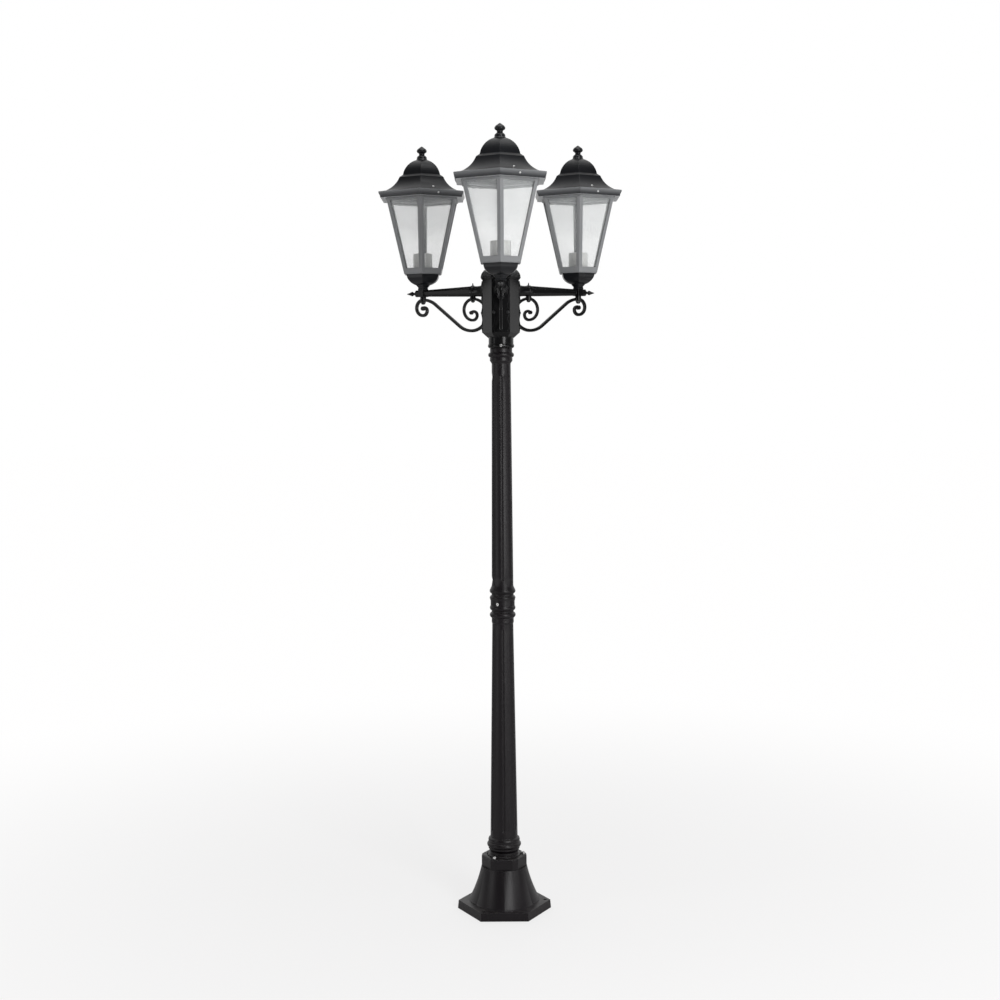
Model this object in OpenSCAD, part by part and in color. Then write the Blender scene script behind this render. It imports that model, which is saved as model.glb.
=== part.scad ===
// Three-armed garden lamp post: cast base, fluted two-piece post, hexagonal hub,
// three scrolled arms and three hexagonal lanterns with hinged roofs.
// The origin is on the ground at the post's axis. One arm points to -Y.

/* [Base] */
// Width of the hexagonal ground flange across its flats
flange_af = 238; // [220:1:300]
// Height of the ground flange
flange_h = 24; // [16:1:40]
// How much narrower the flange is at its top, across flats
flange_draft = 4; // [0:1:10]
// Height of the bell above the flange
bell_h = 106; // [80:1:180]
// Reach of the bell's three petals at its foot, along their keels
bell_foot_r = 107; // [90:1:110]
// Radius of the bell's round top
bell_top_r = 66.5; // [66:0.5:75]
// Distance of each petal's own axis from the post's axis, at the foot
petal_offset = 11; // [4:0.5:14]
// Sideways shift of a petal's two halves that leaves a keel between them, at the foot
keel_shift = 9; // [0:0.5:12]
// Depth of the hollow in the bell's side curve
bell_sag = 3.5; // [2:0.5:12]
// Least wall of the bell, behind the valleys
bell_wall = 6; // [4:0.5:8]
// Thickness of the plate that closes the bell at its top
bell_plate = 14; // [8:1:20]
// Diameter of the circle of anchor holes
anchor_pcd = 240; // [236:1:246]
// Diameter of an anchor hole
anchor_d = 10; // [6:0.5:12]
// Width of the clamping collar across its flats
collar_af = 122; // [118:1:126]
// Radius of the collar's rounded corners, from the post's axis
collar_round_r = 66; // [64:0.5:68]
// Height of the clamping collar
collar_h = 33; // [24:1:50]
// Diameter of the circle of collar screws
collar_pcd = 112; // [111:0.5:114]
// Thread diameter of the collar screws
collar_screw_d = 6; // [4:0.5:6]

/* [Post] */
// Length of the lower post from its seat to the joint
lower_len = 786; // [600:1:1200]
// Diameter of the lower post at its foot
lower_foot_d = 79.6; // [68:0.5:84]
// Diameter of the lower post under the joint
lower_head_d = 61.2; // [56:0.2:62]
// Length of the upper post from the joint to the hub
upper_len = 727; // [500:1:1100]
// Diameter of the upper post above the joint
upper_foot_d = 62.8; // [58:0.2:64]
// Diameter of the upper post under the hub
upper_head_d = 54.6; // [50:0.2:56]
// Wall of both posts
post_wall = 6; // [5:0.5:8]
// Diameter of the spigots that join the posts and the hub
spigot_d = 50; // [46:0.5:50]
// Length of a spigot
spigot_len = 52; // [30:1:60]
// Diameter of the clear way for the cable at both ends of a post
cable_d = 34; // [20:1:38]
// Bore of the two posts
post_bore = 36; // [30:1:38]
// Number of flutes round a post
flute_count = 6; // [4:1:8]
// Width of a flute at the surface
flute_w = 8.5; // [5:0.5:10]
// Depth of a flute
flute_depth = 2.5; // [1.5:0.1:3]
// Thread diameter of the grub screws at the two joints
grub_d = 8; // [5:0.5:8]

/* [Hub] */
// Width of the hub across its flats
hub_af = 90; // [84:1:110]
// Height of the hub's straight sides
hub_h = 151; // [130:1:180]
// Wall of the hub
hub_wall = 6; // [4:0.5:8]
// Thickness of the hub's floor
hub_floor = 10; // [8:1:16]
// Height of the round neck under the hub
neck_h = 30; // [26:1:50]
// Width of the cap's rim across its flats
cap_af = 99; // [94:1:120]
// Height of the cap's dome above its rim
cap_dome_h = 36; // [20:1:60]

/* [Arms] */
// Distance from the post's axis to each lantern's axis
arm_reach = 264; // [250:1:285]
// Height of the arms' axis above the bottom of the hub's sides
arm_rise = 122; // [116:1:128]
// Thickness of an arm beside its collar, across flats
arm_root_af = 29.5; // [26:0.5:32]
// Thickness of an arm at the lantern, across flats
arm_end_af = 19.4; // [18:0.2:24]
// Width of the pad that carries a lantern, across flats
pad_af = 29; // [26:0.5:36]
// Thickness of the plate that fixes an arm to the hub
plate_t = 6; // [4:0.5:10]
// Mean width of the wavy plate
plate_w = 44.4; // [42:0.2:46]
// Thickness of the long scroll's bar
long_bar = 9; // [7:0.5:10]
// Thickness of the short scroll's bar
short_bar = 8; // [6:0.5:8]
// Thread diameter of the plate screws
plate_screw_d = 5; // [3:0.5:6]

/* [Lantern] */
// Width of the lantern body across flats at its foot
body_foot_af = 109; // [100:1:120]
// Width of the lantern body across flats under its roof
body_top_af = 201; // [190:1:206]
// Height of the bowl and neck under the lantern body
bowl_h = 45; // [40:1:60]
// Height of the lantern body
body_h = 218; // [190:1:300]
// Width of the stiles on each face
stile_w = 10; // [7:0.5:14]
// Height of the top and bottom rails
rail_h = 17; // [14:0.5:24]
// Height of the frame's top rail
head_h = 7; // [6:0.5:12]
// Wall of the cast frame
frame_wall = 5; // [4:0.5:7]
// Thickness of a glass pane
glass_t = 3; // [2:0.5:4]
// Width of the roof's brim across flats
brim_af = 246; // [242:1:252]
// Wall of the roof
roof_wall = 3; // [2.5:0.5:4]
// Diameter of the hinge pin
hinge_pin_d = 4; // [3:0.5:4.5]
// Outside diameter of the lampholder's skirt
holder_d = 56; // [44:1:60]
// Diameter of the lamp cap's thread
lamp_thread_d = 26.6; // [26:0.1:28]
// Diameter of the threaded stem that clamps a lantern to its arm
stem_d = 10; // [8:0.5:10]

/* [Hidden] */
$fn = 96;

// Directions of the three arms round the post
front = -90;
right = 30;
left = 150;
arm_angles = [front, right, left];

// Clearances: a sliding fit on the radius, a running fit, and a seat between bodies
slide_gap = 0.1;
run_gap = 0.05;
seat_gap = 0.3;
eps = 0.01;

// Heights of the main seats above the ground
collar_z = flange_h + bell_h;
post_z = collar_z;
joint_z = post_z + lower_len;
hub_z = joint_z + upper_len;
chamfer_h = 14;
prism_z = hub_z + neck_h + chamfer_h;
cap_z = prism_z + hub_h;
arm_z = prism_z + arm_rise;
pad_proud = 0.3;
lantern_z = arm_z + arm_end_af / 2 + pad_proud;

// Colours
powder_black = "#1d1b1f";
hub_black = "#232326";
roof_grey = "#35363a";
frame_grey = "#686d72";
bright = "#d8dadc";
porcelain = "#e8e6df";
clear_glass = [0.85, 0.9, 0.9, 0.35];

// Points of a circular arc from angle a0 to a1 in n steps
function arc(centre, radius, a0, a1, n) =
    [for (i = [0:n]) let (a = a0 + (a1 - a0) * i / n) centre + radius * [cos(a), sin(a)]];

// Arc between two points, hollow to their right by sag
function sagged(p, q, sag, n) =
    let (
        chord = norm(q - p),
        radius = (chord * chord / 4 + sag * sag) / (2 * sag),
        along = (q - p) / chord,
        side = [along[1], -along[0]],
        centre = (p + q) / 2 + side * (radius - sag),
        half = asin(chord / 2 / radius),
        mid = atan2(-side[1], -side[0])
    )
    arc(centre, radius, mid + half, mid - half, n);

// A profile and its mirror image as one closed outline
function both_sides(profile) =
    concat(profile, [for (i = [len(profile) - 1:-1:0]) [-profile[i][0], profile[i][1]]]);

function widest(profile) = max([for (p = profile) p[0]]);

// Straight bar whose section is the profile of half width against height
module strip(profile, turn) {
    rotate([0, 0, turn])
        rotate([90, 0, 0])
            linear_extrude(height = 3 * widest(profile), center = true)
                polygon(both_sides(profile));
}

// Six-sided body: half width across flats against height
module hex_body(profile, turn = 0) {
    intersection() {
        strip(profile, turn);
        strip(profile, turn + 60);
        strip(profile, turn + 120);
    }
}

// Eight-sided body: half width across flats against height
module oct_body(profile) {
    intersection() {
        strip(profile, 0);
        strip(profile, 45);
        strip(profile, 90);
        strip(profile, 135);
    }
}

// Round bead that stands out of a turned profile
module bead(peak_r, z, radius) {
    translate([peak_r - radius, z])
        circle(r = radius, $fn = 48);
}

module at_arm(angle) {
    rotate([0, 0, angle])
        children();
}

// Every lantern keeps the same way round, whichever arm carries it
module at_lantern(angle) {
    translate([arm_reach * cos(angle), arm_reach * sin(angle), lantern_z])
        children();
}

// Base casting: hexagonal flange, bell of three petals, hollow inside, three anchor holes
bell_lip = 5;
lip_edge = 1.5;
lip_out = 3;
bell_curve =
    sagged([bell_foot_r, flange_h + bell_lip], [bell_top_r, collar_z], bell_sag, 12);

// How far the bell reaches at an angle from a petal's keel, where the keel reaches to reach
function petal_reach(turn, reach) =
    let (
        share = (reach - bell_top_r) / (bell_foot_r - bell_top_r),
        offset_in = petal_offset * share,
        shift = keel_shift * share,
        run = offset_in * cos(turn) - shift * sin(abs(turn)),
        spread = pow(reach - offset_in, 2) - pow(offset_in, 2)
    )
    run + sqrt(spread + run * run);

// Radius of the round hollow that leaves the bell's wall behind the valleys between petals
function hollow_r(reach) = petal_reach(60, reach) - bell_wall;
hollow_curve = [
    for (p = bell_curve) if (p[1] < collar_z - bell_plate) [hollow_r(p[0]), p[1]]
];
hollow_top_r = hollow_curve[len(hollow_curve) - 1][0];

module base_hollow() {
    rotate_extrude()
        polygon(concat(
            [[0, -1], [hollow_r(bell_foot_r), -1]],
            hollow_curve,
            [[hollow_top_r, collar_z - bell_plate], [0, collar_z - bell_plate]]
        ));
}

// Outside of the bell: three keeled petals that meet in valleys, round at the top
bell_steps = 96;
bell_rows = concat(
    [
        [bell_foot_r + lip_out, flange_h / 2],
        [bell_foot_r + lip_out, flange_h + lip_edge]
    ],
    bell_curve
);
bell_points = concat(
    [
        for (row = bell_rows, i = [0:bell_steps - 1])
            let (turn = 360 * i / bell_steps, r = petal_reach((turn + 30) % 120 - 60, row[0]))
                [r * cos(turn), r * sin(turn), row[1]]
    ],
    [[0, 0, flange_h / 2], [0, 0, collar_z]]
);
bell_top = (len(bell_rows) - 1) * bell_steps;
bell_centre = len(bell_rows) * bell_steps;
bell_faces = concat(
    [
        for (j = [0:len(bell_rows) - 2], i = [0:bell_steps - 1], half = [0, 1])
            let (a = j * bell_steps, b = a + bell_steps, k = (i + 1) % bell_steps)
                half == 0 ? [a + i, b + i, b + k] : [a + i, b + k, a + k]
    ],
    [for (i = [0:bell_steps - 1]) [bell_centre, i, (i + 1) % bell_steps]],
    [
        for (i = [0:bell_steps - 1])
            [bell_centre + 1, bell_top + (i + 1) % bell_steps, bell_top + i]
    ]
);

module base_casting() {
    color(powder_black)
        difference() {
            union() {
                hex_body([[flange_af / 2, 0], [flange_af / 2 - flange_draft / 2, flange_h]], 30);
                polyhedron(points = bell_points, faces = bell_faces);
            }
            base_hollow();
            cylinder(d = cable_d, h = collar_z + 1);
            for (k = [0:2])
                rotate([0, 0, 120 * k]) {
                    translate([anchor_pcd / 2, 0, -1])
                        cylinder(d = anchor_d, h = flange_h + 2);
                    translate([collar_pcd / 2, 0, collar_z - collar_grip])
                        cylinder(d = collar_screw_d + 2 * slide_gap, h = collar_grip + 1);
                }
        }
}

// Clamping collar: rounded hexagonal ring whose lip holds down the post's foot
foot_flange_h = 17;
foot_disc_h = 36;
foot_flange_r = collar_pcd / 2 - collar_screw_d / 2 - 1.5;
foot_disc_r = foot_flange_r - 3;
lip_h = 8;
collar_grip = 12;
collar_z1 = collar_z + collar_h;

module base_collar() {
    color(powder_black)
        difference() {
            intersection() {
                hex_body([
                    [collar_af / 2, collar_z], [collar_af / 2, collar_z1 - 4],
                    [collar_af / 2 - 1.2, collar_z1 - 1.2], [collar_af / 2 - 4, collar_z1]
                ], 30);
                rotate_extrude()
                    polygon([
                        [0, collar_z], [collar_round_r, collar_z],
                        [collar_round_r, collar_z1 - 5], [collar_round_r - 1.5, collar_z1 - 1.5],
                        [collar_round_r - 5, collar_z1], [0, collar_z1]
                    ]);
            }
            translate([0, 0, collar_z - 1])
                cylinder(r = foot_flange_r + slide_gap, h = foot_flange_h + 1 + slide_gap);
            translate([0, 0, collar_z])
                cylinder(r = foot_disc_r + slide_gap, h = collar_h + 1);
            translate([0, 0, collar_z + foot_flange_h + lip_h])
                cylinder(r = foot_disc_r + 2, h = collar_h);
            for (k = [0:2])
                rotate([0, 0, 120 * k])
                    translate([collar_pcd / 2, 0, collar_z - 1])
                        cylinder(d = collar_screw_d + 2 * slide_gap, h = collar_h + 2);
        }
}

// Socket-head screw standing on z = 0, shank downwards
module cap_screw(d, shank) {
    difference() {
        union() {
            cylinder(d = d * 1.7, h = d);
            translate([0, 0, -shank])
                cylinder(d = d, h = shank + eps);
        }
        translate([0, 0, d * 0.45])
            cylinder(d = d * 0.95, h = d, $fn = 6);
    }
}

module collar_screws() {
    color(bright)
        for (k = [0:2])
            rotate([0, 0, 120 * k])
                translate([collar_pcd / 2, 0, collar_z1])
                    cap_screw(collar_screw_d, collar_h + collar_grip - 2);
}

// Lower post: turned foot, fluted tapered shaft, turned head with the joint's socket
lower_shaft_z0 = post_z + 92;
lower_shaft_z1 = joint_z - 68;
upper_shaft_z0 = joint_z + 44;
upper_shaft_z1 = hub_z - 43;
flute_end = 13;

// Round-ended cutter for one flute along a taper from r0 at z0 to r1 at z1
module flute(r0, z0, r1, z1) {
    cutter_r = (flute_w * flute_w / 4 + flute_depth * flute_depth) / (2 * flute_depth);
    lean = atan((r0 - r1) / (z1 - z0));
    length = (z1 - z0) / cos(lean);
    translate([r0 + cutter_r - flute_depth, 0, z0])
        rotate([0, -lean, 0])
            rotate_extrude($fn = 48)
                polygon([
                    [0, 0], [cutter_r * 0.6, cutter_r * 0.2], [cutter_r * 0.9, cutter_r * 0.6],
                    [cutter_r, cutter_r * 1.1], [cutter_r, length - cutter_r * 1.1],
                    [cutter_r * 0.9, length - cutter_r * 0.6],
                    [cutter_r * 0.6, length - cutter_r * 0.2], [0, length]
                ]);
}

module flutes(r0, z0, r1, z1) {
    for (k = [0:flute_count - 1])
        rotate([0, 0, front + 360 * k / flute_count])
            flute(r0, z0, r1, z1);
}

// Radius of a tapered shaft at height z
function taper(d0, z0, d1, z1, z) = (d0 + (d1 - d0) * (z - z0) / (z1 - z0)) / 2;

head_r = 35;
ring_r = 37.6;
bead_r = 9;

module lower_post_outline() {
    polygon([
        [0, post_z], [foot_flange_r, post_z], [foot_flange_r, post_z + foot_flange_h],
        [foot_disc_r, post_z + foot_flange_h], [foot_disc_r, post_z + foot_disc_h - 2],
        [foot_disc_r - 2, post_z + foot_disc_h], [lower_foot_d / 2 + 1.5, post_z + foot_disc_h + 1],
        [lower_foot_d / 2 + 1, post_z + 44], [lower_foot_d / 2 + 6, post_z + 52],
        [lower_foot_d / 2 + 6, post_z + 80], [lower_foot_d / 2 + 5, post_z + 83],
        [lower_foot_d / 2, post_z + 86], [lower_foot_d / 2, lower_shaft_z0],
        [lower_head_d / 2, lower_shaft_z1], [32, lower_shaft_z1 + 3],
        [32, joint_z - 3], [head_r, joint_z - 3], [head_r, joint_z], [0, joint_z]
    ]);
    bead(lower_foot_d / 2 + 10, post_z + 64, 8);
    bead(lower_foot_d / 2 + 6.5, post_z + 78, 5);
    bead(ring_r, joint_z - 43, bead_r);
    bead(ring_r - 0.4, joint_z - 22, bead_r);
    translate([0, joint_z - 22])
        square([head_r, 22]);
    bead(32.3, lower_shaft_z1 + 6, 4);
}

module lower_post() {
    socket_z = joint_z - spigot_len - 5;
    color(powder_black)
        difference() {
            rotate_extrude()
                lower_post_outline();
            flutes(
                taper(lower_foot_d, lower_shaft_z0, lower_head_d, lower_shaft_z1, lower_shaft_z0 + flute_end),
                lower_shaft_z0 + flute_end,
                taper(lower_foot_d, lower_shaft_z0, lower_head_d, lower_shaft_z1, lower_shaft_z1 - flute_end),
                lower_shaft_z1 - flute_end
            );
            translate([0, 0, post_z - 1])
                cylinder(d = post_bore, h = lower_len);
            translate([0, 0, post_z + 60])
                cylinder(r = lower_foot_d / 2 - post_wall, h = lower_shaft_z0 - post_z - 60 + eps);
            translate([0, 0, lower_shaft_z0])
                cylinder(
                    r1 = lower_foot_d / 2 - post_wall,
                    r2 = lower_head_d / 2 - post_wall,
                    h = lower_shaft_z1 - lower_shaft_z0
                );
            translate([0, 0, socket_z])
                cylinder(d = spigot_d + 2 * slide_gap, h = spigot_len + 6);
            coupling_axis()
                cylinder(d = grub_d + 2 * slide_gap, h = head_r + 5);
        }
}

// Grub screws: flat point against the spigot, hexagon socket at the surface
coupling_turn = -115;

module coupling_axis() {
    rotate([0, 0, coupling_turn])
        translate([0, 0, joint_z - 9])
            rotate([0, 90, 0])
                children();
}

module hub_screw_axis() {
    rotate([0, 0, front])
        translate([0, 0, hub_z + 8])
            rotate([0, 90, 0])
                children();
}

module grub_screw(r_out) {
    translate([0, 0, spigot_d / 2])
        difference() {
            cylinder(d = grub_d, h = r_out - spigot_d / 2 + 1);
            translate([0, 0, r_out - spigot_d / 2 - 3])
                cylinder(d = grub_d * 0.6, h = 5, $fn = 6);
        }
}

module coupling_screw() {
    color(bright)
        coupling_axis()
            grub_screw(head_r);
}

module hub_screw() {
    color(bright)
        hub_screw_axis()
            grub_screw(ring_r);
}

// Upper post: a spigot at each end, turned rings, fluted tapered shaft
module upper_post_outline() {
    polygon([
        [0, joint_z - spigot_len], [spigot_d / 2 - 1, joint_z - spigot_len],
        [spigot_d / 2, joint_z - spigot_len + 1], [spigot_d / 2, joint_z],
        [head_r + 1, joint_z], [head_r + 1, joint_z + 4], [32, joint_z + 10], [32, joint_z + 28],
        [36, joint_z + 32], [upper_foot_d / 2, joint_z + 42], [upper_foot_d / 2, upper_shaft_z0],
        [upper_head_d / 2, upper_shaft_z1], [30, upper_shaft_z1 + 5], [32.6, upper_shaft_z1 + 8],
        [32.6, hub_z - 28], [32, hub_z - 26], [32, hub_z - 1], [31, hub_z],
        [spigot_d / 2, hub_z], [spigot_d / 2, hub_z + spigot_len - 1],
        [spigot_d / 2 - 1, hub_z + spigot_len], [0, hub_z + spigot_len]
    ]);
    bead(ring_r - 0.2, joint_z + 7, bead_r - 2);
    bead(ring_r, joint_z + 27, bead_r - 1);
    bead(ring_r - 0.5, hub_z - 18, bead_r - 1.5);
}

module upper_post() {
    color(powder_black)
        difference() {
            rotate_extrude()
                upper_post_outline();
            flutes(
                taper(upper_foot_d, upper_shaft_z0, upper_head_d, upper_shaft_z1, upper_shaft_z0 + flute_end),
                upper_shaft_z0 + flute_end,
                taper(upper_foot_d, upper_shaft_z0, upper_head_d, upper_shaft_z1, upper_shaft_z1 - 33),
                upper_shaft_z1 - 33
            );
            translate([0, 0, joint_z - spigot_len - 1])
                cylinder(d = post_bore, h = upper_len + 2 * spigot_len + 2);
            translate([0, 0, upper_shaft_z0])
                cylinder(
                    r1 = upper_foot_d / 2 - post_wall,
                    r2 = upper_head_d / 2 - post_wall,
                    h = upper_shaft_z1 - upper_shaft_z0
                );
            rotate([0, 0, front])
                translate([0, 0, upper_shaft_z1 - 10])
                    rotate([0, 90, 0])
                        cylinder(d = 4.4, h = upper_head_d);
        }
}

// Hub: six-sided terminal box on a round neck
hub_half = hub_af / 2;
cavity_half = hub_half - hub_wall;
cavity_z = prism_z + hub_floor;
bridge_h = 8;
bridge_z = cap_z - 18;
cap_stud_d = 6;

module hub() {
    color(hub_black)
        difference() {
            union() {
                hex_body([
                    [hub_half * 0.7, prism_z - chamfer_h], [hub_half, prism_z], [hub_half, cap_z]
                ], 30);
                rotate_extrude()
                    union() {
                        polygon([
                            [0, hub_z], [32, hub_z], [32, hub_z + 2], [35.8, hub_z + 10],
                            [35.8, prism_z - chamfer_h + 3], [0, prism_z - chamfer_h + 3]
                        ]);
                        bead(ring_r + 0.3, hub_z + 8, 7);
                    }
            }
            translate([0, 0, hub_z - 1])
                cylinder(d = spigot_d + 2 * slide_gap, h = cavity_z - hub_z + 2);
            difference() {
                hex_body([[cavity_half, cavity_z], [cavity_half, cap_z + 1]], 30);
                translate([0, 0, bridge_z + bridge_h / 2])
                    cube([hub_af * 1.2, 14, bridge_h], center = true);
            }
            translate([0, 0, bridge_z - 1])
                cylinder(d = cap_stud_d + 2 * slide_gap, h = bridge_h + 2);
            hub_screw_axis()
                cylinder(d = grub_d + 2 * slide_gap, h = ring_r + 5);
            for (angle = arm_angles)
                at_arm(angle) {
                    translate([cavity_half - 1, 0, arm_z])
                        rotate([0, 90, 0])
                            cylinder(d = wire_d + 2, h = hub_wall + 2);
                    plate_screw_places()
                        cylinder(d = plate_screw_d + 2 * slide_gap, h = hub_wall + plate_t);
                }
        }
}

// Hub cap: six-sided dome with an eaves rim and a lip that drops into the hub
cap_half = cap_af / 2;
cap_lip_h = 6;
rim_h = 8;
cap_top_half = 9;
dome_points = [
    for (i = [0:8]) let (a = 80 * i / 8) [cap_half * cos(a), cap_z + rim_h + cap_dome_h * sin(a)]
];
cap_top_z = dome_points[8][1];

module hub_cap() {
    color(hub_black)
        difference() {
            union() {
                hex_body(concat(
                    [[hub_half + 0.5, cap_z], [cap_half, cap_z + rim_h - 2]], dome_points
                ), 30);
                hex_body([
                    [cavity_half - seat_gap, cap_z - cap_lip_h], [cavity_half - seat_gap, cap_z + 1]
                ], 30);
            }
            hex_body([
                [cavity_half - 4, cap_z - cap_lip_h - 1], [cavity_half - 4, cap_z + rim_h],
                [cavity_half - 12, cap_z + rim_h + cap_dome_h * 0.55],
                [cap_top_half, cap_top_z - 5]
            ], 30);
            cylinder(d = cap_stud_d + 2 * slide_gap, h = cap_top_z + 1);
        }
}

module cap_finial() {
    color(hub_black)
        union() {
            translate([0, 0, cap_top_z])
                rotate_extrude($fn = 64)
                    union() {
                        polygon([[0, 0], [8.5, 0], [8.5, 1.5], [4.5, 4], [4.5, 6], [0, 10]]);
                        intersection() {
                            translate([0, 9])
                                circle(r = 6, $fn = 48);
                            square([10, 20]);
                        }
                    }
            translate([0, 0, bridge_z])
                cylinder(d = cap_stud_d, h = cap_top_z - bridge_z + 1, $fn = 48);
        }
}

// Terminal block on the hub's floor, beside the cable's way in
block_size = [26, 12, 20];

module terminal_block() {
    color(porcelain)
        translate([0, spigot_d / 2 + 2, cavity_z])
            difference() {
                translate([-block_size[0] / 2, 0, 0])
                    cube(block_size);
                for (x = [-8, 0, 8]) {
                    translate([x, -1, block_size[2] * 0.7])
                        rotate([-90, 0, 0])
                            cylinder(d = 4, h = 8, $fn = 32);
                    translate([x, block_size[1] / 2, block_size[2] * 0.65])
                        cylinder(d = 4.6, h = block_size[2], $fn = 32);
                }
            }
}

// Arm: wavy plate, turned root with a collar, eight-sided taper, pad for the lantern
wire_d = 9;
plate_x = hub_half + plate_t;
plate_z0 = prism_z + 1;
plate_z1 = cap_z - 2;
wave_z = prism_z + 58;
wave_pitch = 38;
wave_amp = 2.3;
plate_screw_y = 20;
collar_x = hub_half + 48;
collar_w = 10;
collar_r = 17;
root_x = collar_x + collar_w / 2;
taper_x = arm_reach - 18;
end_x = arm_reach + 28;
end_chamfer = 5;
pad_drop = arm_end_af / 2 + pad_proud;

function plate_edge(z) = plate_w / 2 + wave_amp * cos(360 * (z - wave_z) / wave_pitch);
plate_steps = 48;
plate_side = [
    for (i = [0:plate_steps])
        let (z = plate_z0 + (plate_z1 - plate_z0) * i / plate_steps) [plate_edge(z), z]
];

// Places of an arm's plate screws, their axes pointing out of the hub
module plate_screw_places() {
    for (y = [-plate_screw_y, plate_screw_y])
        translate([cavity_half - 1, y, wave_z])
            rotate([0, 90, 0])
                children();
}

// Shaft along +X from x0 to x1 with the given half widths
module along_x(x0, profile) {
    translate([x0, 0, arm_z])
        rotate([0, 90, 0])
            oct_body(profile);
}

module arm() {
    color(hub_black)
        difference() {
            union() {
                translate([hub_half, 0, 0])
                    rotate([90, 0, 90])
                        linear_extrude(height = plate_t)
                            polygon(both_sides(plate_side));
                translate([0, 0, arm_z])
                    rotate([0, 90, 0])
                        rotate_extrude($fn = 64)
                            polygon(concat(
                                [[0, plate_x - 1], [20, plate_x - 1]],
                                sagged([20, plate_x], [15.5, collar_x - collar_w / 2], 2.2, 6),
                                [
                                    [collar_r - 1, collar_x - collar_w / 2],
                                    [collar_r, collar_x - collar_w / 2 + 1.5],
                                    [collar_r, collar_x + collar_w / 2 - 1.5],
                                    [collar_r - 1, root_x], [0, root_x]
                                ]
                            ));
                translate([collar_x, 0, arm_z])
                    cylinder(r1 = 5.5, r2 = 1, h = collar_r + 7, $fn = 48);
                translate([collar_x, 0, arm_z - collar_r])
                    cylinder(r = eye_r - 1, h = collar_r, $fn = 48);
                along_x(root_x - 1, [
                    [arm_root_af / 2, 0], [arm_end_af / 2, taper_x - root_x + 1],
                    [arm_end_af / 2, end_x - root_x + 1 - end_chamfer], [5, end_x - root_x + 1]
                ]);
                translate([arm_reach, 0, arm_z - pad_drop])
                    hex_body([[pad_af / 2, 0], [pad_af / 2, pad_drop + lantern_z - arm_z]], 30);
            }
            translate([hub_half - 1, 0, arm_z])
                rotate([0, 90, 0])
                    cylinder(d = wire_d, h = arm_reach - hub_half, $fn = 48);
            translate([arm_reach, 0, arm_z - pad_drop - 1])
                cylinder(d = stem_d + 2 * slide_gap, h = pad_drop * 2 + 2, $fn = 64);
            translate([end_x - tip_spigot, 0, arm_z])
                rotate([0, 90, 0])
                    cylinder(d = tip_spigot_d + 2 * slide_gap, h = tip_spigot + 1, $fn = 48);
            translate([collar_x, 0, arm_z - collar_r - 1])
                cylinder(d = bolt_d + 2 * slide_gap, h = bolt_depth + 1, $fn = 48);
            plate_screw_places()
                cylinder(d = plate_screw_d + 2 * slide_gap, h = hub_wall + plate_t + 2);
        }
}

// Spear tip pushed into the arm's end
tip_spigot = 10;
tip_spigot_d = 5;

module arm_tip() {
    color(hub_black)
        translate([end_x, 0, arm_z])
            rotate([0, 90, 0])
                rotate_extrude($fn = 64)
                    polygon([
                        [0, -tip_spigot + 1], [tip_spigot_d / 2, -tip_spigot + 1],
                        [tip_spigot_d / 2, 0], [4, 0], [3.4, 3], [3.6, 5], [6, 8], [6.8, 10],
                        [6, 12.5], [3.6, 19], [1, 28], [0, 28.5]
                    ]);
}

// Button-head screws that hold the plates to the hub
module plate_screws() {
    color(bright)
        for (angle = arm_angles)
            at_arm(angle)
                plate_screw_places()
                    union() {
                        translate([0, 0, 2])
                            cylinder(d = plate_screw_d, h = hub_wall + plate_t - 1, $fn = 48);
                        translate([0, 0, hub_wall + plate_t + 1])
                            rotate_extrude($fn = 48)
                                polygon([
                                    [0, 0], [plate_screw_d * 0.9, 0], [plate_screw_d * 0.8, 1.6],
                                    [plate_screw_d * 0.4, 2.8], [0, 3]
                                ]);
                    }
}

// Bars of the scrolls: chamfered square section, bent as a chain of arcs.
// Each step is [radius, degrees], up for plus; a step of 0 degrees is straight.
eye_r = 9;
eye_foot = 0.3;
// Flat cut around each eye for its nut or bolt
spot_r = 8;
bolt_d = 5;
bolt_depth = 14;
bend_step = 0.04;
bend_lap = 0.4;

module bar_section(size) {
    h = size / 2;
    c = size * 0.18;
    polygon([
        [-h, -h + c], [-h + c, -h], [h - c, -h], [h, -h + c],
        [h, h - c], [h - c, h], [-h + c, h], [-h, h - c]
    ]);
}

module bent_bar(step, size, lap) {
    lap_angle = 57.3 * lap / step[0];
    if (step[1] == 0)
        translate([-lap, 0, 0])
            rotate([90, 0, 90])
                linear_extrude(height = step[0] + 2 * lap)
                    bar_section(size);
    else
        translate([0, 0, sign(step[1]) * step[0]])
            rotate([90, 0, 0])
                rotate([0, 0, (step[1] > 0 ? -90 : 90 + step[1]) - lap_angle])
                    rotate_extrude(angle = abs(step[1]) + 2 * lap_angle)
                        translate([step[0], 0])
                            bar_section(size);
}

// Every second bend is a hair thinner and its ends reach into its neighbours
module bar_chain(steps, size, end_r, i = 0) {
    if (i < len(steps)) {
        step = steps[i];
        inner = i % 2;
        bent_bar(step, size - inner * bend_step, inner * bend_lap);
        run = step[1] == 0 ? step[0] : step[0] * sin(abs(step[1]));
        rise = step[1] == 0 ? 0 : sign(step[1]) * step[0] * (1 - cos(step[1]));
        translate([run, 0, rise])
            rotate([0, -step[1], 0])
                bar_chain(steps, size, end_r, i + 1);
    } else {
        rotate([90, 0, 0])
            cylinder(r = end_r, h = size, center = true, $fn = 48);
    }
}

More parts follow.
